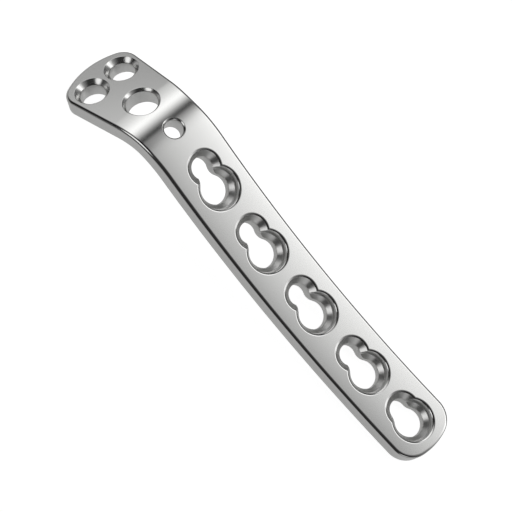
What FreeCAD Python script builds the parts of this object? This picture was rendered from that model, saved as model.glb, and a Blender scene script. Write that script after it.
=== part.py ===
import FreeCAD, Part

import math
import os

# Bone plate machined from one bar: a long shaft with combination screw holes, and a wider, thinner
# head bent down towards the bone. Sizes in millimetres and degrees.
# Stations run along the top surface, from 0 midway between the two ends of the first combination
# hole. They grow towards the shaft's far end and are negative towards the head.

# Shaft
SHAFT_WIDTH = 12.0
SHAFT_THICKNESS = 3.3
BOW_RADIUS = 157.0
END_MARGIN = 6.7
END_RADIUS = 12.0
END_CORNER_RADIUS = 4.1

# Head
HEAD_WIDTH = 14.6
HEAD_THICKNESS = 3.0
HEAD_LENGTH = 13.5
HEAD_TIP_RADIUS = 13.0
HEAD_CORNER_RADIUS = 3.0
HEAD_NECK = 4.9
NECK_BLEND_RADIUS = 40.0

# Bend between them
BEND_START = 4.3
BEND_RADIUS = 14.8
BEND_ANGLE = 50.0

# Rounding of the long edges
TOP_EDGE_RADIUS = 0.4
BOTTOM_EDGE_RADIUS = 0.3

# Combination holes: a large round seat and a small one joined by a throat
COMBI_COUNT = 4
COMBI_PITCH = 13.0
COMBI_REACH = 4.1
LAST_COMBI_PITCH = 11.5
LAST_COMBI_REACH = 2.5
LARGE_RIM_DIAMETER = 7.7
LARGE_SEAT_DIAMETER = 7.0
LARGE_THROAT_DIAMETER = 4.9
SMALL_RIM_DIAMETER = 5.86
SMALL_THROAT_DIAMETER = 3.6
THROAT_WAIST_RADIUS = 2.0
SEAT_WALL_DEPTH = 1.2
SEAT_LEDGE = 0.27
SEAT_ANGLE = 90.0

# Round holes in the head and in the bend, each with a conical rim
HEAD_HOLE_DIAMETER = 4.3
HEAD_HOLE_RIM_DIAMETER = 5.86
HEAD_HOLE_SPACING = 6.5
HEAD_HOLE_SETBACK = 5.0
CENTRE_HOLE_DIAMETER = 5.3
CENTRE_HOLE_RIM_DIAMETER = 6.2
CENTRE_HOLE_SETBACK = 13.3
WIRE_HOLE_DIAMETER = 3.1
WIRE_HOLE_RIM_DIAMETER = 3.7
WIRE_HOLE_STATION = -9.95
UNDERSIDE_BREAK = 0.15

# Worked out from the sizes above
SPARE = 3.0
BEND_LENGTH = BEND_RADIUS * math.radians(BEND_ANGLE)
BEND_END_STATION = -BEND_START - BEND_LENGTH
HEAD_TIP_STATION = BEND_END_STATION - HEAD_LENGTH
LAST_COMBI_STATION = (COMBI_COUNT - 1) * COMBI_PITCH + LAST_COMBI_PITCH
END_STATION = LAST_COMBI_STATION + END_MARGIN


def bow_angle(station):
    """Slope of the shaft's top surface at a station, in radians."""
    return station / BOW_RADIUS


def surface_angle(station):
    """Slope of the top surface, in radians. It grows along the bow, and down the bend to the head."""
    if station >= -BEND_START:
        return bow_angle(station)
    into_bend = min(-BEND_START - station, BEND_LENGTH)
    return bow_angle(-BEND_START) + into_bend / BEND_RADIUS


def direction(angle):
    """Unit vector along a slope, towards the far end."""
    return FreeCAD.Vector(math.cos(angle), 0.0, math.sin(angle))


def normal(angle):
    """Unit vector square to a slope, out of the top surface."""
    return FreeCAD.Vector(-math.sin(angle), 0.0, math.cos(angle))


def surface_point(station, depth=0.0):
    """Point at a station on the centreline, a depth below the top surface."""
    angle = surface_angle(station)
    if station >= -BEND_START:
        point = FreeCAD.Vector(0.0, 0.0, BOW_RADIUS) - normal(angle) * BOW_RADIUS
        return point - normal(angle) * depth
    start_angle = bow_angle(-BEND_START)
    start_point = surface_point(-BEND_START)
    bend_centre = start_point - normal(start_angle) * BEND_RADIUS
    point = bend_centre + normal(angle) * BEND_RADIUS
    past_bend = max(BEND_END_STATION - station, 0.0)
    return point - direction(angle) * past_bend - normal(angle) * depth


def thickness(station):
    """Thickness at a station. It eases from the shaft's to the head's through the bend."""
    share = min(max((-BEND_START - station) / BEND_LENGTH, 0.0), 1.0)
    eased = share * share * (3.0 - 2.0 * share)
    return SHAFT_THICKNESS + (HEAD_THICKNESS - SHAFT_THICKNESS) * eased


def arc_between(first, last, depth=0.0):
    """Arc through three stations of one curved stretch of the surface."""
    middle = (first + last) / 2.0
    points = [surface_point(station, depth) for station in (first, middle, last)]
    return Part.Arc(*points).toShape()


def top_edges():
    """Edges of the side profile's top: head line, bend arc and bow arc."""
    tip = HEAD_TIP_STATION - SPARE
    end = END_STATION + SPARE
    head_line = Part.makeLine(surface_point(tip), surface_point(BEND_END_STATION))
    bend_arc = arc_between(BEND_END_STATION, -BEND_START)
    bow_arc = arc_between(-BEND_START, end)
    return [head_line, bend_arc, bow_arc]


def underside_edges():
    """Edges of the side profile's underside: bow arc, eased bend curve and head line."""
    tip = HEAD_TIP_STATION - SPARE
    end = END_STATION + SPARE
    bow_arc = arc_between(end, -BEND_START, SHAFT_THICKNESS)
    steps = 8
    stations = [-BEND_START - BEND_LENGTH * step / steps for step in range(steps + 1)]
    points = [surface_point(station, thickness(station)) for station in stations]
    bend_curve = Part.BSplineCurve()
    bend_curve.interpolate(
        Points=points,
        InitialTangent=direction(surface_angle(-BEND_START)) * -1.0,
        FinalTangent=direction(surface_angle(BEND_END_STATION)) * -1.0,
    )
    head_start = surface_point(BEND_END_STATION, HEAD_THICKNESS)
    head_line = Part.makeLine(head_start, surface_point(tip, HEAD_THICKNESS))
    return [bow_arc, bend_curve.toShape(), head_line]


def sheet(edges):
    """Surface swept across the plate from edges of the side profile."""
    width = HEAD_WIDTH + 2.0 * SPARE
    wire = Part.Wire(edges)
    wire.translate(FreeCAD.Vector(0.0, -width / 2.0, 0.0))
    return wire.extrude(FreeCAD.Vector(0.0, width, 0.0))


def bent_slab():
    """Side profile swept across the plate, wider and longer than the finished outline."""
    top = top_edges()
    under = underside_edges()
    end_line = Part.makeLine(top[-1].Vertexes[-1].Point, under[0].Vertexes[0].Point)
    tip_line = Part.makeLine(under[-1].Vertexes[-1].Point, top[0].Vertexes[0].Point)
    width = HEAD_WIDTH + 2.0 * SPARE
    face = Part.Face(Part.Wire(top + [end_line] + under + [tip_line]))
    face.translate(FreeCAD.Vector(0.0, -width / 2.0, 0.0))
    return face.extrude(FreeCAD.Vector(0.0, width, 0.0))


def local_placement(station, across=0.0):
    """Placement with its Z along the surface normal and its X towards the far end."""
    angle = surface_angle(station)
    turn = FreeCAD.Rotation(FreeCAD.Vector(0.0, 1.0, 0.0), -math.degrees(angle))
    return FreeCAD.Placement(surface_point(station) + FreeCAD.Vector(0.0, across, 0.0), turn)


def outline_prism(edges, height):
    """Upright prism over a closed flat outline, reaching half its height to each side."""
    face = Part.Face(Part.Wire(edges))
    face.translate(FreeCAD.Vector(0.0, 0.0, -height / 2.0))
    return face.extrude(FreeCAD.Vector(0.0, 0.0, height))


def round_upright_edges(prism, places, radius):
    """Round the upright edges of a prism that stand at the given places."""
    edges = []
    for edge in prism.Edges:
        low, high = edge.Vertexes[0].Point, edge.Vertexes[-1].Point
        upright = abs(low.x - high.x) < 1e-6 and abs(low.y - high.y) < 1e-6
        if upright and any(abs(low.x - x) < 1e-6 and abs(low.y - y) < 1e-6 for x, y in places):
            edges.append(edge)
    return prism.makeFillet(radius, edges)


def tip_depth(radius, half_width):
    """How far an end arc of this radius stands out past its corners."""
    return radius - math.sqrt(radius * radius - half_width * half_width)


def shaft_outline():
    """Prism that trims the shaft: straight sides, and a far end of one broad arc with round corners."""
    half = SHAFT_WIDTH / 2.0
    corner = -tip_depth(END_RADIUS, half)
    back = -2.0 * END_STATION
    left, right = FreeCAD.Vector(corner, half, 0.0), FreeCAD.Vector(corner, -half, 0.0)
    left_back, right_back = FreeCAD.Vector(back, half, 0.0), FreeCAD.Vector(back, -half, 0.0)
    edges = [
        Part.makeLine(left, left_back),
        Part.makeLine(left_back, right_back),
        Part.makeLine(right_back, right),
        Part.Arc(right, FreeCAD.Vector(0.0, 0.0, 0.0), left).toShape(),
    ]
    prism = outline_prism(edges, 4.0 * END_STATION)
    prism = round_upright_edges(prism, [(corner, half), (corner, -half)], END_CORNER_RADIUS)
    prism.Placement = local_placement(END_STATION)
    middle_of_bend = -BEND_START - BEND_LENGTH / 2.0
    reach = 4.0 * END_STATION
    shaft_side = Part.makeBox(reach, reach, reach, FreeCAD.Vector(0.0, -reach / 2.0, -reach / 2.0))
    shaft_side.Placement = local_placement(middle_of_bend)
    return prism.common(shaft_side)


def head_side(side):
    """Edges of one side of the head's outline, from the shaft's straight side to the tip's corner."""
    half_shaft, half_head = SHAFT_WIDTH / 2.0, HEAD_WIDTH / 2.0
    corner = -HEAD_LENGTH + tip_depth(HEAD_TIP_RADIUS, half_head)
    flare = math.atan2(half_head - half_shaft, HEAD_NECK - corner)
    tangent = NECK_BLEND_RADIUS * math.tan(flare / 2.0)
    blend_x = HEAD_NECK + tangent
    blend_y = half_shaft + NECK_BLEND_RADIUS
    start = FreeCAD.Vector(HEAD_NECK + tangent + SPARE, side * half_shaft, 0.0)
    blend = []
    for angle in (0.0, flare / 2.0, flare):
        x = blend_x - NECK_BLEND_RADIUS * math.sin(angle)
        y = blend_y - NECK_BLEND_RADIUS * math.cos(angle)
        blend.append(FreeCAD.Vector(x, side * y, 0.0))
    end = FreeCAD.Vector(corner, side * half_head, 0.0)
    return [
        Part.makeLine(start, blend[0]),
        Part.Arc(*blend).toShape(),
        Part.makeLine(blend[2], end),
    ]


def head_outline():
    """Prism that trims the head: flaring sides, and a tip of one broad arc with round corners."""
    left, right = head_side(1.0), head_side(-1.0)
    left_corner, right_corner = left[-1].Vertexes[-1].Point, right[-1].Vertexes[-1].Point
    tip = Part.Arc(left_corner, FreeCAD.Vector(-HEAD_LENGTH, 0.0, 0.0), right_corner).toShape()
    back = Part.makeLine(right[0].Vertexes[0].Point, left[0].Vertexes[0].Point)
    prism = outline_prism(left + [tip] + right[::-1] + [back], 4.0 * HEAD_LENGTH)
    corners = [(left_corner.x, left_corner.y), (right_corner.x, right_corner.y)]
    prism = round_upright_edges(prism, corners, HEAD_CORNER_RADIUS)
    prism.Placement = local_placement(BEND_END_STATION)
    return prism


def edges_on(solid, surface):
    """Edges of a solid that lie along a surface for their whole length."""
    found = []
    for edge in solid.Edges:
        first, last = edge.ParameterRange
        samples = [edge.valueAt(first + (last - first) * share) for share in (0.0, 0.3, 0.7, 1.0)]
        if all(surface.distToShape(Part.Vertex(point))[0] < 1e-4 for point in samples):
            found.append(edge)
    return found


def plate_blank():
    """Bent plate with its outline and rounded edges, before its holes."""
    outline = shaft_outline().fuse(head_outline()).removeSplitter()
    blank = bent_slab().common(outline).removeSplitter()
    blank = blank.makeFillet(TOP_EDGE_RADIUS, edges_on(blank, sheet(top_edges())))
    return blank.makeFillet(BOTTOM_EDGE_RADIUS, edges_on(blank, sheet(underside_edges())))


def turned(points):
    """Solid of revolution about Z from profile points (radius, height)."""
    vectors = [FreeCAD.Vector(radius, 0.0, height) for radius, height in points]
    face = Part.Face(Part.makePolygon(vectors + vectors[:1]))
    return face.revolve(FreeCAD.Vector(0.0, 0.0, 0.0), FreeCAD.Vector(0.0, 0.0, 1.0), 360.0)


def cone_drop(outer, inner):
    """Depth of a seat cone between two radii."""
    return (outer - inner) / math.tan(math.radians(SEAT_ANGLE / 2.0))


def rim_mouth(radius):
    """Profile points that carry a rim cone on above the surface, and back to the axis."""
    rise = 0.5
    return [(radius + rise * math.tan(math.radians(SEAT_ANGLE / 2.0)), rise), (0.0, rise)]


def round_hole_cutter(diameter, rim_diameter, thick):
    """Cutter of a round hole: conical rim, straight wall and broken edge on the underside."""
    radius, rim = diameter / 2.0, rim_diameter / 2.0
    below = 0.5
    points = [
        (0.0, -thick - below),
        (radius + UNDERSIDE_BREAK + below, -thick - below),
        (radius, -thick + UNDERSIDE_BREAK),
        (radius, -cone_drop(rim, radius)),
    ]
    return turned(points + rim_mouth(rim))


def large_seat():
    """Large end's seat: conical rim, upright wall, narrow ledge and cone down to the throat."""
    rim, wall, throat = LARGE_RIM_DIAMETER / 2.0, LARGE_SEAT_DIAMETER / 2.0, LARGE_THROAT_DIAMETER / 2.0
    cone_top = wall - SEAT_LEDGE
    cone_foot = -SEAT_WALL_DEPTH - cone_drop(cone_top, throat)
    points = [
        (0.0, cone_foot),
        (throat, cone_foot),
        (cone_top, -SEAT_WALL_DEPTH),
        (wall, -SEAT_WALL_DEPTH),
        (wall, -cone_drop(rim, wall)),
    ]
    return turned(points + rim_mouth(rim))


def small_seat():
    """Small end's seat: one cone from the rim down to the throat."""
    rim, throat = SMALL_RIM_DIAMETER / 2.0, SMALL_THROAT_DIAMETER / 2.0
    cone_foot = -cone_drop(rim, throat)
    return turned([(0.0, cone_foot), (throat, cone_foot)] + rim_mouth(rim))


def throat_prism(reach):
    """Keyhole prism of the throat: two round ends, and a waist whose arcs run smoothly into both."""
    large, small = LARGE_THROAT_DIAMETER / 2.0, SMALL_THROAT_DIAMETER / 2.0
    large_centre = FreeCAD.Vector(reach / 2.0, 0.0, 0.0)
    small_centre = FreeCAD.Vector(-reach / 2.0, 0.0, 0.0)
    to_large, to_small = large + THROAT_WAIST_RADIUS, small + THROAT_WAIST_RADIUS
    along = (to_large ** 2 - to_small ** 2 + reach ** 2) / (2.0 * reach)
    across = math.sqrt(to_large ** 2 - along ** 2)
    waists = []
    for side in (1.0, -1.0):
        centre = FreeCAD.Vector(reach / 2.0 - along, side * across, 0.0)
        at_large = large_centre + (centre - large_centre) * (large / to_large)
        at_small = small_centre + (centre - small_centre) * (small / to_small)
        inward = ((at_large + at_small) * 0.5 - centre).normalize()
        waists.append((at_large, centre + inward * THROAT_WAIST_RADIUS, at_small))
    left, right = waists
    large_end = large_centre + FreeCAD.Vector(large, 0.0, 0.0)
    small_end = small_centre - FreeCAD.Vector(small, 0.0, 0.0)
    arcs = [
        (left[0], left[1], left[2]),
        (left[2], small_end, right[2]),
        (right[2], right[1], right[0]),
        (right[0], large_end, left[0]),
    ]
    return outline_prism([Part.Arc(*points).toShape() for points in arcs], 2.0 * (SHAFT_THICKNESS + SPARE))


def combination_hole_cutter(reach):
    """Cutter of one combination hole: two seats and the throat below them."""
    large = large_seat()
    large.translate(FreeCAD.Vector(reach / 2.0, 0.0, 0.0))
    small = small_seat()
    small.translate(FreeCAD.Vector(-reach / 2.0, 0.0, 0.0))
    return throat_prism(reach).fuse([large, small])


def hole_cutters():
    """Cutters of every hole, each square to the surface at its own station."""
    cutters = []
    stations = [index * COMBI_PITCH for index in range(COMBI_COUNT)]
    reaches = [COMBI_REACH] * COMBI_COUNT
    stations.append(LAST_COMBI_STATION)
    reaches.append(LAST_COMBI_REACH)
    for station, reach in zip(stations, reaches):
        cutter = combination_hole_cutter(reach)
        cutter.Placement = local_placement(station)
        cutters.append(cutter)

    head_station = HEAD_TIP_STATION + HEAD_HOLE_SETBACK
    for side in (-1.0, 1.0):
        cutter = round_hole_cutter(HEAD_HOLE_DIAMETER, HEAD_HOLE_RIM_DIAMETER, HEAD_THICKNESS)
        cutter.Placement = local_placement(head_station, side * HEAD_HOLE_SPACING / 2.0)
        cutters.append(cutter)

    centre_station = HEAD_TIP_STATION + CENTRE_HOLE_SETBACK
    cutter = round_hole_cutter(CENTRE_HOLE_DIAMETER, CENTRE_HOLE_RIM_DIAMETER, thickness(centre_station))
    cutter.Placement = local_placement(centre_station)
    cutters.append(cutter)

    cutter = round_hole_cutter(WIRE_HOLE_DIAMETER, WIRE_HOLE_RIM_DIAMETER, thickness(WIRE_HOLE_STATION))
    cutter.Placement = local_placement(WIRE_HOLE_STATION)
    cutters.append(cutter)
    return cutters


def resting_turn():
    """Angle about Y, in radians, that lays the plate on its head tip and its bowed underside."""
    foot = surface_point(HEAD_TIP_STATION, HEAD_THICKNESS)
    bow_centre = FreeCAD.Vector(0.0, 0.0, BOW_RADIUS)
    reach = (foot - bow_centre).Length
    behind = math.atan2(bow_centre.x - foot.x, bow_centre.z - foot.z)
    ahead = math.acos((BOW_RADIUS + SHAFT_THICKNESS) / reach)
    return min(ahead - behind, bow_angle(END_STATION))


def laid_to_rest(plate):
    """Plate turned as it lies on a table, its box centred on the origin and its foot at Z = 0."""
    plate.rotate(FreeCAD.Vector(0.0, 0.0, 0.0), FreeCAD.Vector(0.0, 1.0, 0.0), math.degrees(resting_turn()))
    box = plate.optimalBoundingBox(False)
    middle = FreeCAD.Vector(box.Center.x, box.Center.y, box.ZMin)
    plate.translate(middle * -1.0)
    return plate


def bone_plate():
    """Finished plate."""
    plate = plate_blank()
    for cutter in hole_cutters():
        plate = plate.cut(cutter)
    return laid_to_rest(plate.removeSplitter().Solids[0])


os.makedirs("parts", exist_ok=True)
plate = bone_plate()
plate.exportStep("parts/bone_plate.step")
box = plate.optimalBoundingBox(False)
print("size %.2f x %.2f x %.2f mm" % (box.XLength, box.YLength, box.ZLength))
print("volume %.1f mm3, solids %d, valid %s" % (plate.Volume, len(plate.Solids), plate.isValid()))
print("resting turn %.2f degrees" % math.degrees(resting_turn()))
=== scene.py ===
import math

import bmesh
import bpy
from mathutils import Matrix, Vector
from mathutils.geometry import delaunay_2d_cdt
from mathutils.kdtree import KDTree


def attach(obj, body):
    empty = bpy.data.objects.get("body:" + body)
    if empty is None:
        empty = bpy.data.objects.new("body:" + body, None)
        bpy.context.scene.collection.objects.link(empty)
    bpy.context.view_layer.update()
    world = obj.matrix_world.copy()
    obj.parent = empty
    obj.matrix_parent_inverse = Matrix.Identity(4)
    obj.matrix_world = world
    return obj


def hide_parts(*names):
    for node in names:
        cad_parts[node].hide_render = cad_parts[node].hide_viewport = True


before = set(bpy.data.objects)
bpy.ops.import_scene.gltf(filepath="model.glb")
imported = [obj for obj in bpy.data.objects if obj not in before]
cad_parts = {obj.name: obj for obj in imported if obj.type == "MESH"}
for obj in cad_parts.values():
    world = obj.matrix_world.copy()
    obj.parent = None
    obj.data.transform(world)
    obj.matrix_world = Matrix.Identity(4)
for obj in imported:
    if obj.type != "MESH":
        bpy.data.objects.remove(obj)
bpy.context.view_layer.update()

# Camera
# It looks down on the plate as it lies, turned so that the head is at the picture's upper left
# and the far end at its lower right.
CAMERA_PLACE = (-0.000746, -0.072779, 0.175245)
CAMERA_RIGHT = (0.675930, 0.679718, 0.284785)
CAMERA_UP = (-0.736966, 0.623754, 0.260408)
CAMERA_LENS = 79.98
CAMERA_SENSOR = 36.0
CAMERA_NEAR = 0.005

camera_data = bpy.data.cameras.new("camera")
camera_data.sensor_width = CAMERA_SENSOR
camera_data.lens = CAMERA_LENS
camera_data.clip_start = CAMERA_NEAR
camera = bpy.data.objects.new("camera", camera_data)
right, up = Vector(CAMERA_RIGHT).normalized(), Vector(CAMERA_UP).normalized()
camera_axes = Matrix((right, up, right.cross(up))).transposed()
camera.matrix_world = Matrix.Translation(CAMERA_PLACE) @ camera_axes.to_4x4()
bpy.context.scene.collection.objects.link(camera)
bpy.context.scene.camera = camera

# Bone plate
# One bar of implant steel, milled to its outline, bent down to the head, bowed along the shaft,
# bored for screws and polished. Its sizes are in millimetres, and a station is a place along the
# flat blank, which grows towards the far end of the shaft.
SHAFT_WIDTH = 12.0
SHAFT_THICKNESS = 3.3
BOW_RADIUS = 157.0
END_RADIUS = 12.0
END_CORNER_RADIUS = 4.1
END_STATION = 57.198
HEAD_WIDTH = 14.588
HEAD_THICKNESS = 3.0
HEAD_LENGTH = 13.5
HEAD_TIP_RADIUS = 13.0
HEAD_CORNER_RADIUS = 3.0
HEAD_NECK = 4.9
NECK_BLEND_RADIUS = 40.0
BEND_START = 4.3
BEND_RADIUS = 14.8
BEND_ANGLE = math.radians(50.0)
BEND_LENGTH = BEND_RADIUS * BEND_ANGLE
BEND_END_STATION = -BEND_START - BEND_LENGTH
HEAD_TIP_STATION = BEND_END_STATION - HEAD_LENGTH
TOP_EDGE_RADIUS = 0.55
BOTTOM_EDGE_RADIUS = 0.3
EDGE_STEPS = 6
CROWN_RADIUS = 150.0


def slope(station):
    """Slope of the top surface: it grows along the bow, and down the bend to the head."""
    if station >= -BEND_START:
        return station / BOW_RADIUS
    return -BEND_START / BOW_RADIUS + min(-BEND_START - station, BEND_LENGTH) / BEND_RADIUS


def along(angle):
    return Vector((math.cos(angle), 0.0, math.sin(angle)))


def out_of_top(angle):
    return Vector((-math.sin(angle), 0.0, math.cos(angle)))


def thickness(station):
    """Thickness of the plate, which eases from the shaft's to the head's along the bend."""
    share = min(max((-BEND_START - station) / BEND_LENGTH, 0.0), 1.0)
    return SHAFT_THICKNESS + (HEAD_THICKNESS - SHAFT_THICKNESS) * share * share * (3.0 - 2.0 * share)


def surface(station, across=0.0, depth=0.0):
    """Point of the bent plate for a place on its flat blank and a depth below the crowned top."""
    angle = slope(station)
    if station >= -BEND_START:
        point = Vector((0.0, 0.0, BOW_RADIUS)) - out_of_top(angle) * BOW_RADIUS
    else:
        start = -BEND_START / BOW_RADIUS
        centre = Vector((0.0, 0.0, BOW_RADIUS)) - out_of_top(start) * (BOW_RADIUS + BEND_RADIUS)
        point = centre + out_of_top(angle) * BEND_RADIUS
        point -= along(angle) * max(BEND_END_STATION - station, 0.0)
    crown = across * across / (2.0 * CROWN_RADIUS) * (1.0 - min(depth / thickness(station), 1.0))
    point -= out_of_top(angle) * (depth + crown)
    point.y = across
    return point


def broad_place(station, across, under):
    """Point on the top or the underside."""
    return surface(station, across, thickness(station) if under else 0.0)


def arc(centre, radius, first, last, step=0.25):
    """Points on an arc in the plane of the blank, with both ends."""
    count = max(int(abs(last - first) * radius / step), 6)
    angles = [first + (last - first) * i / count for i in range(count + 1)]
    return [(centre[0] + radius * math.cos(a), centre[1] + radius * math.sin(a)) for a in angles]


def line(first, last, step=0.5):
    count = max(int(math.dist(first, last) / step), 1)
    return [tuple(a + (b - a) * i / count for a, b in zip(first, last)) for i in range(count + 1)]


def shifted(point, direction, distance):
    return (point[0] + distance * direction[0], point[1] + distance * direction[1])


def far_end():
    """Half of the far end: a broad arc and a round corner."""
    half, centre = SHAFT_WIDTH / 2.0, END_STATION - END_RADIUS
    corner_y = half - END_CORNER_RADIUS
    corner_x = centre + math.sqrt((END_RADIUS - END_CORNER_RADIUS) ** 2 - corner_y ** 2)
    turn = math.atan2(corner_y, corner_x - centre)
    corner = arc((corner_x, corner_y), END_CORNER_RADIUS, turn, math.pi / 2.0)
    return arc((centre, 0.0), END_RADIUS, 0.0, turn) + corner[1:]


def head_half():
    """Half of the head's outline: the neck's blend, the flaring side, the corner and the tip."""
    half_shaft, half_head = SHAFT_WIDTH / 2.0, HEAD_WIDTH / 2.0
    tip_x = HEAD_TIP_RADIUS - HEAD_LENGTH
    corner = (tip_x - math.sqrt(HEAD_TIP_RADIUS ** 2 - half_head ** 2), half_head)
    flare = math.atan2(half_head - half_shaft, HEAD_NECK - corner[0])
    neck_x = HEAD_NECK + NECK_BLEND_RADIUS * math.tan(flare / 2.0)
    neck_centre = (neck_x, half_shaft + NECK_BLEND_RADIUS)
    neck = arc(neck_centre, NECK_BLEND_RADIUS, -math.pi / 2.0, -math.pi / 2.0 - flare)

    # The corner's centre is one corner radius in from the side, and as far from the tip's arc.
    inward = (-math.sin(flare), -math.cos(flare))
    forward = (math.cos(flare), -math.sin(flare))
    base = shifted(corner, inward, HEAD_CORNER_RADIUS)
    offset = (base[0] - tip_x, base[1])
    dot = offset[0] * forward[0] + offset[1] * forward[1]
    reach = (HEAD_TIP_RADIUS - HEAD_CORNER_RADIUS) ** 2 - offset[0] ** 2 - offset[1] ** 2
    centre = shifted(base, forward, -dot - math.sqrt(dot * dot + reach))
    at_side = shifted(centre, inward, -HEAD_CORNER_RADIUS)
    at_tip = math.atan2(centre[1], centre[0] - tip_x)
    corner_arc = arc(centre, HEAD_CORNER_RADIUS, math.pi / 2.0 - flare, at_tip)
    tip = arc((tip_x, 0.0), HEAD_TIP_RADIUS, at_tip, math.pi)
    return neck + line(neck[-1], at_side)[1:] + corner_arc[1:] + tip[1:]


def head_station(x):
    """Station of a point that lies x from the head's end of the bend, measured straight."""
    return BEND_END_STATION + (BEND_RADIUS * math.asin(x / BEND_RADIUS) if x > 0.0 else x)


def blank_outline():
    """Closed outline of the flat blank, from the middle of the far end."""
    head = [(head_station(x), y) for x, y in head_half()]
    end = far_end()
    half = end + line(end[-1], head[0])[1:] + head[1:]
    return half + [(x, -y) for x, y in half[-2:0:-1]]


def inset(points, distance):
    """The closed outline moved inwards."""
    moved = []
    for i, (x, y) in enumerate(points):
        before, after = points[i - 1], points[(i + 1) % len(points)]
        run = Vector((after[0] - before[0], after[1] - before[1])).normalized()
        moved.append((x - run.y * distance, y + run.x * distance))
    return moved


plate = bmesh.new()
machined = plate.faces.layers.float.new("machined")


def add_ring(points):
    return [plate.verts.new(point) for point in points]


def join_rings(first, second, flip=False, finish=0.0):
    """Band of faces between two rings, with the share of machining marks that is left on it."""
    count = len(first)
    for i in range(count):
        quad = (first[i], second[i], second[(i + 1) % count], first[(i + 1) % count])
        plate.faces.new(quad[::-1] if flip else quad)[machined] = finish


# The edge all round: the top's rounding, the upright side and the underside's rounding.
outline = blank_outline()
edge_turns = [math.pi / 2.0 * i / EDGE_STEPS for i in range(EDGE_STEPS + 1)]
edge_rings = []
for turn in edge_turns:
    points = inset(outline, TOP_EDGE_RADIUS * (1.0 - math.sin(turn)))
    depth = TOP_EDGE_RADIUS * (1.0 - math.cos(turn))
    edge_rings.append(add_ring([surface(x, y, depth) for x, y in points]))
for turn in edge_turns:
    points = inset(outline, BOTTOM_EDGE_RADIUS * (1.0 - math.cos(turn)))
    rise = BOTTOM_EDGE_RADIUS * (1.0 - math.sin(turn))
    edge_rings.append(add_ring([surface(x, y, thickness(x) - rise) for x, y in points]))
for first, second in zip(edge_rings, edge_rings[1:]):
    join_rings(first, second)

# Round holes, each bored square to the plate where it stands.
HEAD_HOLES = {"diameter": 4.3, "rim": 5.86, "station": HEAD_TIP_STATION + 5.0, "round": 0.12}
HEAD_HOLE_OFFSET = 3.25
CENTRE_HOLE = {"diameter": 5.3, "rim": 6.2, "station": HEAD_TIP_STATION + 13.3, "round": 0.15}
WIRE_HOLE = {"diameter": 3.1, "rim": 3.7, "station": -9.95, "round": 0.15}
ROUND_HOLES = (
    (HEAD_HOLES, HEAD_HOLE_OFFSET), (HEAD_HOLES, -HEAD_HOLE_OFFSET), (CENTRE_HOLE, 0.0), (WIRE_HOLE, 0.0),
)
WALL_BREAK = 0.08
UNDERSIDE_BREAK = 0.15
HOLE_SEGMENTS = 96
RIM_STEPS = 4
POLISHED = 0.0
HOLE_CONE_FINISH = 0.25
HOLE_WALL_FINISH = 0.5
SEARCH_STEPS = 8


def cone_rim(rim, radius):
    """Rim rounded off from the top surface into a 90 degree cone that starts at the rim radius."""
    centre = rim + radius * math.tan(math.pi / 8.0)
    angles = [math.pi / 4.0 * i / RIM_STEPS for i in range(RIM_STEPS + 1)]
    return [(centre - radius * math.sin(a), radius * (1.0 - math.cos(a))) for a in angles]


def hole_cone(hole):
    """Radius and depth down a round hole, from its rim over its cone to the top of its wall."""
    wall, rim = hole["diameter"] / 2.0, hole["rim"] / 2.0
    cone = rim - wall
    return cone_rim(rim, hole["round"]) + [
        (wall + WALL_BREAK, cone - WALL_BREAK),
        (wall + WALL_BREAK / 4.0, cone + WALL_BREAK / 4.0),
        (wall, cone + WALL_BREAK),
    ]


def station_beside(centre, angle, x, across, under):
    """Station where the top or the underside lies x from a hole's axis."""
    station = centre + x
    for _ in range(SEARCH_STEPS):
        found = (broad_place(station, across, under) - surface(centre)).dot(along(angle))
        station += x - found
    return station


def bore(hole, across):
    """Walls of one round hole; gives its edges on the top and on the underside of the blank."""
    centre, wall = hole["station"], hole["diameter"] / 2.0
    angle, origin = slope(centre), surface(centre)
    steps = [(radius, False, depth) for radius, depth in hole_cone(hole)]
    steps += [(wall, True, -UNDERSIDE_BREAK), (wall + UNDERSIDE_BREAK, True, 0.0)]
    loops, hole_rings = [], []
    for radius, under, depth in steps:
        loop, points = [], []
        for i in range(HOLE_SEGMENTS):
            turn = 2.0 * math.pi * i / HOLE_SEGMENTS
            x, y = radius * math.cos(turn), radius * math.sin(turn) + across
            station = station_beside(centre, angle, x, y, under)
            drop = (origin - broad_place(station, y, under)).dot(out_of_top(angle)) + depth
            point = origin + along(angle) * x - out_of_top(angle) * drop
            point.y = y
            loop.append((station, y))
            points.append(point)
        loops.append(loop)
        hole_rings.append(add_ring(points))
    finishes = [POLISHED] * RIM_STEPS + [HOLE_CONE_FINISH] * 3 + [HOLE_WALL_FINISH] * 2
    for first, second, finish in zip(hole_rings, hole_rings[1:], finishes):
        join_rings(first, second, flip=True, finish=finish)
    return loops[0], loops[-1]


top_loops, under_loops = [], []
for hole, across in ROUND_HOLES:
    top_loop, under_loop = bore(hole, across)
    top_loops.append(top_loop)
    under_loops.append(under_loop)

# Combination holes: a large stepped seat and a small countersunk one share a keyhole throat. Each
# is given by its station and by how far its two seats lie apart.
COMBI_HOLES = ((0.0, 4.1), (13.0, 4.1), (26.0, 4.1), (39.0, 4.1), (50.5, 2.5))
LARGE_RIM = 3.94
LARGE_WALL = 3.5
LARGE_BREAK = 0.08
LARGE_BREAK_DROP = 0.096
LARGE_THROAT = 2.45
SEAT_WALL_DEPTH = 1.2
SEAT_LEDGE = 0.27
SMALL_RIM = 3.2
SMALL_CONE = 2.8
SMALL_THROAT = 1.8
RIM_ROLL = 0.6
RIM_ROLL_TURNS = (0.0, 5.0, 10.0, 15.0)
RIM_BEVEL = math.radians(25.0)
RIM_DEPTH = 0.2
WAIST_RADIUS = 2.0
THROAT_BREAK = 0.08
THROAT_BREAK_DROP = 0.136
THROAT_OVERLAP = 0.008
THROAT_TOP = 0.25
THROAT_STEP = 0.15
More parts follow.
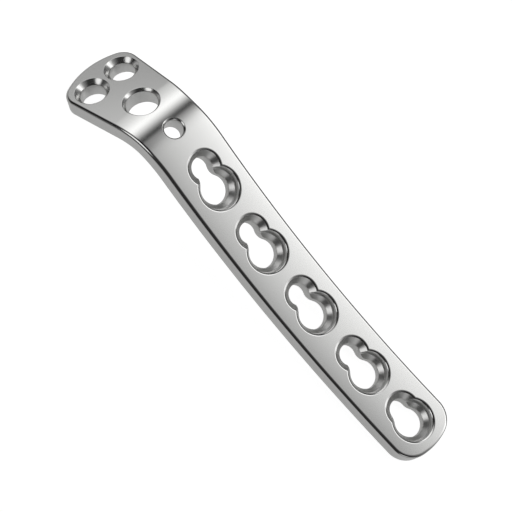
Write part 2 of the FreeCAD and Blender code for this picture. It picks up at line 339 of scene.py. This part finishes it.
CONE_STEEPNESS = (0.5, 0.9)
SEAT_CONE_FINISH = 0.45
SEAT_WALL_FINISH = 1.0
CAP_TOLERANCE = 1e-3
SAME_POINT = 1e-4

# A crease is a narrow band beside an edge that keeps its shading crisp.
CREASE = 0.05
RIM_CREASE = 0.015
CONE_CREASE = 0.03


def stacked(name, loops):
    """Closed solid through loops of points, from the top one down."""
    solid = bmesh.new()
    solid_rings = [[solid.verts.new(point) for point in loop] for loop in loops]
    solid.faces.new(solid_rings[0])
    solid.faces.new(solid_rings[-1][::-1])
    for first, second in zip(solid_rings, solid_rings[1:]):
        for i in range(len(first)):
            k = (i + 1) % len(first)
            solid.faces.new((first[k], first[i], second[i], second[k]))
    mesh = bpy.data.meshes.new(name)
    solid.to_mesh(mesh)
    solid.free()
    return bpy.data.objects.new(name, mesh)


def turned_seat(name, profile, x):
    """Seat turned about an upright axis through the flat blank."""
    turns = [2.0 * math.pi * (i + 0.5) / HOLE_SEGMENTS for i in range(HOLE_SEGMENTS)]
    return stacked(name, [
        [(x + radius * math.cos(turn), radius * math.sin(turn), -depth) for turn in turns]
        for radius, depth in profile
    ])


def keyhole(reach, grow):
    """Closed keyhole outline round the throat's two circles, joined by waist arcs."""
    large, small, waist = LARGE_THROAT + grow, SMALL_THROAT + grow, WAIST_RADIUS - grow
    to_large, to_small = large + waist, small + waist
    back = (to_large ** 2 - to_small ** 2 + reach ** 2) / (2.0 * reach)
    centre = (reach / 2.0 - back, math.sqrt(to_large ** 2 - back ** 2))
    at_large = math.atan2(centre[1], centre[0] - reach / 2.0)
    at_small = math.atan2(centre[1], centre[0] + reach / 2.0)
    half = arc((reach / 2.0, 0.0), large, 0.0, at_large, THROAT_STEP)
    half += arc(centre, waist, at_large - math.pi, at_small - math.pi, THROAT_STEP)[1:]
    half += arc((-reach / 2.0, 0.0), small, at_small, math.pi, THROAT_STEP)[1:]
    return half + [(x, -y) for x, y in half[-2:0:-1]]


def throat_solid(reach):
    """Upright keyhole through the blank, with a broken edge at the underside."""
    # The widened loop has a few points more than the others, and the last of them serve its cap alone.
    levels = (
        (0.0, THROAT_TOP),
        (0.0, SHAFT_THICKNESS - UNDERSIDE_BREAK),
        (UNDERSIDE_BREAK, SHAFT_THICKNESS),
    )
    return stacked("throat", [[(x, y, -level) for x, y in keyhole(reach, grow)] for grow, level in levels])


def bevelled_rim(outer, inner):
    """Profile of a rim that rolls over from the top surface into a shallow bevel."""
    turns = [math.radians(angle) for angle in RIM_ROLL_TURNS]
    roll = [(outer - RIM_ROLL * math.sin(turn), RIM_ROLL * (1.0 - math.cos(turn))) for turn in turns]
    start, depth = roll[-1]
    bevel = [start - RIM_CREASE, inner + RIM_CREASE, inner]
    return roll + [(radius, depth + (start - radius) * math.tan(RIM_BEVEL)) for radius in bevel]


def throat_break(radius, cone_end):
    """Profile of the broken edge between a seat's cone and the throat."""
    return [
        (radius + THROAT_BREAK + CREASE, cone_end - THROAT_BREAK - CREASE),
        (radius + THROAT_BREAK, cone_end - THROAT_BREAK),
        (radius - THROAT_OVERLAP, cone_end + THROAT_BREAK_DROP),
    ]


def large_profile():
    """Rim, upright wall, ledge and cone of the large seat."""
    cone_top = LARGE_WALL - SEAT_LEDGE
    rim = bevelled_rim(LARGE_RIM, LARGE_WALL + LARGE_BREAK)
    return rim + [
        (LARGE_WALL, rim[-1][1] + LARGE_BREAK_DROP),
        (LARGE_WALL, SEAT_WALL_DEPTH),
        (cone_top, SEAT_WALL_DEPTH),
        (cone_top - CREASE, SEAT_WALL_DEPTH + CREASE),
    ] + throat_break(LARGE_THROAT, SEAT_WALL_DEPTH + cone_top - LARGE_THROAT)


def small_profile():
    """Rim and cone of the small seat."""
    rim = bevelled_rim(SMALL_RIM, SMALL_CONE)
    depth = rim[-1][1]
    cone_start = (SMALL_CONE - CONE_CREASE, depth + CONE_CREASE)
    return rim + [cone_start] + throat_break(SMALL_THROAT, depth + SMALL_CONE - SMALL_THROAT)


def combination_hole(reach):
    """Walls of one combination hole in the flat blank, as a mesh that is open at both ends."""
    solids = [
        turned_seat("large_seat", large_profile(), reach / 2.0),
        turned_seat("small_seat", small_profile(), -reach / 2.0),
        throat_solid(reach),
    ]
    for solid in solids:
        bpy.context.scene.collection.objects.link(solid)
    for other in solids[1:]:
        join = solids[0].modifiers.new("join", "BOOLEAN")
        join.operation = "UNION"
        join.solver = "EXACT"
        join.object = other
    graph = bpy.context.evaluated_depsgraph_get()
    mesh = bpy.data.meshes.new_from_object(solids[0].evaluated_get(graph))
    for solid in solids:
        bpy.data.objects.remove(solid)
    walls = bmesh.new()
    walls.from_mesh(mesh)
    bmesh.ops.remove_doubles(walls, verts=walls.verts, dist=SAME_POINT)
    bmesh.ops.dissolve_degenerate(walls, edges=walls.edges, dist=SAME_POINT)
    caps = []
    for face in walls.faces:
        heights = [vert.co.z for vert in face.verts]
        if min(heights) > -CAP_TOLERANCE or max(heights) < CAP_TOLERANCE - SHAFT_THICKNESS:
            caps.append(face)
    bmesh.ops.delete(walls, geom=caps, context="FACES")
    bmesh.ops.reverse_faces(walls, faces=walls.faces)
    walls.normal_update()
    return walls


def seat_finish(face):
    """Share of machining marks on a wall: none on the rims, some on the cones, all on the rest."""
    depth = -sum(vert.co.z for vert in face.verts) / len(face.verts)
    if depth < RIM_DEPTH:
        return POLISHED
    is_cone = CONE_STEEPNESS[0] < abs(face.normal.z) < CONE_STEEPNESS[1]
    return SEAT_CONE_FINISH if is_cone else SEAT_WALL_FINISH


top_edges, under_edges = [], []
for station, reach in COMBI_HOLES:
    walls = combination_hole(reach)
    walls.verts.index_update()
    copies = add_ring([surface(station + vert.co.x, vert.co.y, -vert.co.z) for vert in walls.verts])
    for face in walls.faces:
        plate.faces.new([copies[vert.index] for vert in face.verts])[machined] = seat_finish(face)
    for edge in walls.edges:
        if len(edge.link_faces) == 1:
            ends = [(station + vert.co.x, vert.co.y) for vert in edge.verts]
            on_top = all(vert.co.z > -CAP_TOLERANCE for vert in edge.verts)
            (top_edges if on_top else under_edges).append(ends)
    walls.free()

# The broad top and underside, meshed between the outline and the edges of the holes.
GRID_STEP = 0.75
BEND_GRID_STEP = 0.4
BEND_GRID_MARGIN = 0.5
GRID_MARGIN = 0.4
EDGE_CLEARANCE = 0.3
WAIST_WINDOW = 0.3
INSIDE_ONLY = 1
MESH_TOLERANCE = 1e-5
SEAM_GAP = 1e-3
NORMAL_STEP = 0.01


def in_the_waist(x, y, reach):
    """Whether a place is in the throat, between its two circles."""
    if abs(x) >= reach / 2.0:
        return False
    edge = keyhole(reach, UNDERSIDE_BREAK)
    return abs(y) < min(abs(edge_y) for edge_x, edge_y in edge if abs(edge_x - x) < WAIST_WINDOW)


def in_a_hole(x, y, under):
    """Whether a place on the blank is inside one of the openings."""
    for loop in under_loops if under else top_loops:
        stations, sides = [p[0] for p in loop], [p[1] for p in loop]
        reach_x, reach_y = (max(stations) - min(stations)) / 2.0, (max(sides) - min(sides)) / 2.0
        mid_x, mid_y = (max(stations) + min(stations)) / 2.0, (max(sides) + min(sides)) / 2.0
        if ((x - mid_x) / reach_x) ** 2 + ((y - mid_y) / reach_y) ** 2 < 1.0:
            return True
    large, small = LARGE_RIM, SMALL_RIM
    if under:
        large, small = LARGE_THROAT + UNDERSIDE_BREAK, SMALL_THROAT + UNDERSIDE_BREAK
    for station, reach in COMBI_HOLES:
        to_large = math.dist((x, y), (station + reach / 2.0, 0.0))
        to_small = math.dist((x, y), (station - reach / 2.0, 0.0))
        if to_large < large or to_small < small:
            return True
        if under and in_the_waist(x - station, y, reach):
            return True
    return False


def facing(station, across, under):
    """Outward normal of the top or the underside."""
    ahead, behind = (broad_place(station + step, across, under) for step in (NORMAL_STEP, -NORMAL_STEP))
    left, right = (broad_place(station, across + step, under) for step in (NORMAL_STEP, -NORMAL_STEP))
    normal = (ahead - behind).cross(left - right).normalized()
    return -normal if under else normal


def cell(place):
    return (math.floor(place.x), math.floor(place.y))


def grid_places(edge_points):
    """Places on a grid over the blank, closer on the bend, that keep clear of the edges."""
    cells = {}
    for point in edge_points:
        cells.setdefault(cell(point), []).append(point)
    places = []
    station = HEAD_TIP_STATION + GRID_MARGIN
    while station < END_STATION:
        across = -HEAD_WIDTH / 2.0 + GRID_MARGIN
        while across < HEAD_WIDTH / 2.0:
            place = Vector((station, across))
            x, y = cell(place)
            near = [p for i in (-1, 0, 1) for j in (-1, 0, 1) for p in cells.get((x + i, y + j), ())]
            if all((p - place).length > EDGE_CLEARANCE for p in near):
                places.append(place)
            across += GRID_STEP
        on_bend = BEND_END_STATION - BEND_GRID_MARGIN < station < -BEND_START + BEND_GRID_MARGIN
        station += BEND_GRID_STEP if on_bend else GRID_STEP
    return places


broad_places, broad_normals = [], []


def fill(loops, loose_edges, under):
    """Triangles of the top or the underside between the outline and the openings."""
    points, edges = [], []
    for loop in loops:
        first = len(points)
        points += [Vector(p) for p in loop]
        edges += [(first + i, first + (i + 1) % len(loop)) for i in range(len(loop))]
    for ends in loose_edges:
        first = len(points)
        points += [Vector(p) for p in ends]
        edges.append((first, first + 1))
    points += grid_places(points)
    places, _, triangles, *_ = delaunay_2d_cdt(points, edges, [], INSIDE_ONLY, MESH_TOLERANCE)
    verts = add_ring([broad_place(p.x, p.y, under) for p in places])
    broad_places.extend(vert.co.copy() for vert in verts)
    broad_normals.extend(facing(p.x, p.y, under) for p in places)
    for triangle in triangles:
        mid = sum((places[i] for i in triangle), Vector((0.0, 0.0))) / 3.0
        if not in_a_hole(mid.x, mid.y, under):
            corners = [verts[i] for i in triangle]
            plate.faces.new(corners[::-1] if under else corners)


fill([inset(outline, TOP_EDGE_RADIUS)] + top_loops, top_edges, False)
fill([inset(outline, BOTTOM_EDGE_RADIUS)] + under_loops, under_edges, True)
bmesh.ops.delete(plate, geom=[vert for vert in plate.verts if not vert.link_faces], context="VERTS")
bmesh.ops.remove_doubles(plate, verts=plate.verts, dist=SEAM_GAP)
open_edges = [edge for edge in plate.edges if len(edge.link_faces) == 1]
bmesh.ops.holes_fill(plate, edges=open_edges, sides=4)
bmesh.ops.recalc_face_normals(plate, faces=plate.faces)

# The plate lies on the tip of its head and the far end of its shaft, and is scaled to metres.
REST_TURN = math.radians(16.623017)
REST_SHIFT = Vector((14.465061, 0.000000, -9.861386))
MILLIMETRE = 0.001
SHARP_ANGLE = math.radians(32.0)

rest = Matrix.Rotation(REST_TURN, 4, "Y")
bmesh.ops.transform(plate, matrix=rest, verts=plate.verts)
bmesh.ops.translate(plate, vec=-REST_SHIFT, verts=plate.verts)
bmesh.ops.scale(plate, vec=(MILLIMETRE, MILLIMETRE, MILLIMETRE), verts=plate.verts)
plate_mesh = bpy.data.meshes.new("plate_body")
plate.to_mesh(plate_mesh)
plate.free()
for polygon in plate_mesh.polygons:
    polygon.use_smooth = True
plate_mesh.set_sharp_from_angle(angle=SHARP_ANGLE)
plate_body = bpy.data.objects.new("plate_body", plate_mesh)
bpy.context.scene.collection.objects.link(plate_body)
weigh = plate_body.modifiers.new("weigh", "WEIGHTED_NORMAL")
weigh.mode = "FACE_AREA_WITH_ANGLE"
weigh.keep_sharp = True
graph = bpy.context.evaluated_depsgraph_get()
finished = bpy.data.meshes.new_from_object(plate_body.evaluated_get(graph))
plate_body.modifiers.clear()
plate_body.data = finished

# The broad faces are ground true, so their normals follow the bowed surface and not its triangles.
SAME_PLACE = 2e-6
SAME_FACE = math.cos(math.radians(20.0))

tree = KDTree(len(broad_places))
for number, point in enumerate(broad_places):
    tree.insert((rest @ point - REST_SHIFT) * MILLIMETRE, number)
tree.balance()
nearest = [tree.find(vert.co) for vert in finished.vertices]
normals = [corner.vector.copy() for corner in finished.corner_normals]
for polygon in finished.polygons:
    for corner in polygon.loop_indices:
        _, number, distance = nearest[finished.loops[corner].vertex_index]
        if distance < SAME_PLACE:
            normal = rest @ broad_normals[number]
            if normal.dot(polygon.normal) > SAME_FACE:
                normals[corner] = normal
finished.normals_split_custom_set(normals)

# Satin polished implant steel, rougher where the machined attribute is higher.
STEEL_TONES = ((0.70, 0.70, 0.69, 1.0), (0.74, 0.74, 0.73, 1.0))
GRAIN_SCALE = 3500.0
GRAIN_DETAIL = 4.0
POLISHED_ROUGHNESS = (0.10, 0.15)
MACHINED_ROUGHNESS = 0.5


def feed(tree, node, inputs):
    """Puts a value, or another node's output, into each of a node's named inputs."""
    for name, value in inputs.items():
        if isinstance(value, bpy.types.NodeSocket):
            tree.links.new(value, node.inputs[name])
        else:
            node.inputs[name].default_value = value


def add_node(tree, kind, inputs, **settings):
    node = tree.nodes.new(kind)
    for name, value in settings.items():
        setattr(node, name, value)
    feed(tree, node, inputs)
    return node


def spread(tree, value, low, high, first=0.0, last=1.0, shape="LINEAR"):
    """Output that runs from low to high while a value runs from first to last."""
    inputs = {"Value": value, "From Min": first, "From Max": last, "To Min": low, "To Max": high}
    return add_node(tree, "ShaderNodeMapRange", inputs, interpolation_type=shape).outputs["Result"]


def blend(tree, share, first, second):
    """Colour between two others."""
    inputs = {"Factor": share, "A": first, "B": second}
    return add_node(tree, "ShaderNodeMix", inputs, data_type="RGBA").outputs["Result"]


steel = bpy.data.materials.new("implant_steel")
steel.use_nodes = True
tree = steel.node_tree
place = add_node(tree, "ShaderNodeTexCoord", {}).outputs["Object"]
noise = {"Vector": place, "Scale": GRAIN_SCALE, "Detail": GRAIN_DETAIL}
grain = add_node(tree, "ShaderNodeTexNoise", noise).outputs["Fac"]
marks = add_node(tree, "ShaderNodeAttribute", {}, attribute_name="machined").outputs["Fac"]
polish = spread(tree, grain, *POLISHED_ROUGHNESS)
feed(tree, tree.nodes["Principled BSDF"], {
    "Metallic": 1.0,
    "Roughness": spread(tree, marks, polish, MACHINED_ROUGHNESS),
    "Base Color": blend(tree, grain, *STEEL_TONES),
})
plate_body.data.materials.clear()
plate_body.data.materials.append(steel)
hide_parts("bone_plate")
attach(plate_body, "root")

# Floor
# A plain white board that the plate lies on, far wider than the picture. It is a painted glow: the eye
# sees it glowing almost evenly, while the steel mirrors a painted glow that is pale close to the plate and
# dark further off.
FLOOR_REACH = 1.5
FLOOR_ROUGHNESS = 0.5
FLOOR_SPECULAR = 0.2
# Where the painted light close to the plate reaches: it fades out between these distances from the middle,
# with lengthwise distances shrunk.
NEAR_STRETCH = (0.35, 1.0, 1.0)
NEAR_LIMITS = (0.014, 0.034)
# Painted glow that only the steel's reflections see: dark far off, pale close to the plate.
MIRRORED_PAINTED_GLOW = (0.02, 0.38)
# Painted glow that the eye sees: white far off, with a faint painted shade close to the plate.
SEEN_GLOW_WITH_PAINTED_SHADE = (1.0, 0.92)
# Base tones, near black far off and pale close to the plate, so that the steel mirrors a painted reflection
# that is dark far off and pale close by.
FAR_PAINTED_DARK_TONE = (0.05, 0.05, 0.05, 1.0)
NEAR_PAINTED_PALE_TONE = (0.4, 0.4, 0.4, 1.0)
WHITE = (1.0, 1.0, 1.0, 1.0)

floor_mesh = bpy.data.meshes.new("floor")
floor_corners = [(x * FLOOR_REACH, y * FLOOR_REACH, 0.0) for x, y in ((-1, -1), (1, -1), (1, 1), (-1, 1))]
floor_mesh.from_pydata(floor_corners, [], [(0, 1, 2, 3)])
floor = bpy.data.objects.new("floor", floor_mesh)
bpy.context.scene.collection.objects.link(floor)
board = bpy.data.materials.new("glowing_white_table")
board.use_nodes = True
tree = board.node_tree
place = add_node(tree, "ShaderNodeTexCoord", {}).outputs["Object"]
stretched = add_node(tree, "ShaderNodeVectorMath", {0: place, 1: NEAR_STRETCH}, operation="MULTIPLY")
reach = add_node(tree, "ShaderNodeVectorMath", {0: stretched.outputs["Vector"]}, operation="LENGTH")
# Mask of the painted glow, tone and shade close to the plate.
near = spread(tree, reach.outputs["Value"], 1.0, 0.0, *NEAR_LIMITS, "SMOOTHSTEP")
seen = add_node(tree, "ShaderNodeLightPath", {}).outputs["Is Camera Ray"]
feed(tree, tree.nodes["Principled BSDF"], {
    "Base Color": blend(tree, near, FAR_PAINTED_DARK_TONE, NEAR_PAINTED_PALE_TONE),
    "Roughness": FLOOR_ROUGHNESS,
    "Specular IOR Level": FLOOR_SPECULAR,
    "Emission Color": WHITE,
    # The board glows, a painted light that is brighter for camera rays than for reflected ones.
    "Emission Strength": spread(
        tree, seen, spread(tree, near, *MIRRORED_PAINTED_GLOW), spread(tree, near, *SEEN_GLOW_WITH_PAINTED_SHADE)
    ),
})
floor.data.materials.append(board)

# Light
# A white studio: a long soft strip behind the plate, a dark side in front of it, a narrow dark gap
# and a dark patch over the head, and three small cards low in front and to the right.
# The strips give its brightness by how far a direction points to the back, from -1 to 1.
SHAFT_STRIP = (
    (-1.0, 0.03), (-0.25, 0.03), (0.1, 0.24), (0.26, 0.34), (0.30, 0.52), (0.343, 0.72), (0.385, 0.86),
    (0.427, 0.99), (0.48, 1.14), (0.50, 1.42), (0.56, 1.75), (0.70, 1.75), (0.78, 0.2), (1.0, 0.2),
)
HEAD_STRIP = ((-1.0, 0.03), (-0.25, 0.03), (0.22, 1.0), (0.62, 1.0), (0.75, 0.2), (1.0, 0.2))
HEAD_STRIP_TURN = (104.0, 116.0)

# Brightness by the angle in degrees from the far end over the top to the head.
LENGTHWISE = (
    (0.0, 0.5), (40.0, 0.8), (60.0, 1.0), (90.0, 0.98), (98.0, 0.9), (102.0, 0.78), (106.0, 0.62),
    (110.0, 0.45), (114.0, 0.30), (116.5, 0.08), (119.0, 0.06), (121.6, 0.18), (125.5, 0.53), (129.4, 0.92),
    (133.0, 1.22), (137.0, 1.45), (141.0, 1.32), (148.7, 1.02), (155.0, 0.86), (162.0, 0.73), (166.0, 0.44),
    (180.0, 0.40),
)
BRIGHTEST = 2.0
DARK_PATCH = {"side": (-0.307, 0.10, 0.946), "outer": 13.0, "inner": 9.0, "level": 0.15}
CARDS = (
    {"side": (-0.40, -0.78, 0.46), "outer": 20.0, "inner": 11.0, "level": 1.25},
    {"side": (0.66, -0.72, 0.21), "outer": 19.0, "inner": 9.0, "level": 0.6},
    {"side": (0.92, -0.39, 0.04), "outer": 15.0, "inner": 6.0, "level": 0.5},
)

world = bpy.data.worlds.new("studio")
world.use_nodes = True
bpy.context.scene.world = world
tree = world.node_tree
direction = add_node(tree, "ShaderNodeTexCoord", {}).outputs["Generated"]


def calculate(operation, *values):
    return add_node(tree, "ShaderNodeMath", dict(enumerate(values)), operation=operation).outputs["Value"]


def ramp(value, stops):
    """Brightness along a value from 0 to 1, by straight runs between stops."""
    node = add_node(tree, "ShaderNodeValToRGB", {"Fac": value})
    band = node.color_ramp
    band.interpolation = "LINEAR"
    while len(band.elements) < len(stops):
        band.elements.new(0.5)
    for element, (place, level) in zip(band.elements, stops):
        share = level / BRIGHTEST
        element.position = place
        element.color = (share, share, share, 1.0)
    return calculate("MULTIPLY", node.outputs["Color"], BRIGHTEST)


def spot(shape, low, high):
    """Soft round spot in a direction: low outside its outer angle, high inside its inner one."""
    toward = Vector(shape["side"]).normalized()
    cosine = add_node(tree, "ShaderNodeVectorMath", {0: direction, 1: toward}, operation="DOT_PRODUCT")
    outer, inner = math.cos(math.radians(shape["outer"])), math.cos(math.radians(shape["inner"]))
    return spread(tree, cosine.outputs["Value"], low, high, outer, inner, "SMOOTHSTEP")


axes = add_node(tree, "ShaderNodeSeparateXYZ", {"Vector": direction}).outputs
side = calculate("MULTIPLY_ADD", axes["Y"], 0.5, 0.5)
lengthwise = calculate("ARCTAN2", axes["Z"], axes["X"])
shaft_part = ramp(side, [((y + 1.0) / 2.0, level) for y, level in SHAFT_STRIP])
head_part = ramp(side, [((y + 1.0) / 2.0, level) for y, level in HEAD_STRIP])
first, last = (math.radians(angle) for angle in HEAD_STRIP_TURN)
head_share = spread(tree, lengthwise, 0.0, 1.0, first, last, "SMOOTHSTEP")
difference = calculate("SUBTRACT", head_part, shaft_part)
crosswise = calculate("ADD", shaft_part, calculate("MULTIPLY", head_share, difference))
half_turn = calculate("DIVIDE", lengthwise, math.pi)
lengthwise_part = ramp(half_turn, [(angle / 180.0, level) for angle, level in LENGTHWISE])
level = calculate("MULTIPLY", crosswise, lengthwise_part)
level = calculate("MULTIPLY", level, spot(DARK_PATCH, 1.0, DARK_PATCH["level"]))
for card in CARDS:
    level = calculate("ADD", level, spot(card, 0.0, card["level"]))
seen = add_node(tree, "ShaderNodeLightPath", {}).outputs["Is Camera Ray"]
feed(tree, tree.nodes["Background"], {"Color": blend(tree, seen, level, WHITE)})
bpy.context.scene.view_settings.view_transform = "Standard"
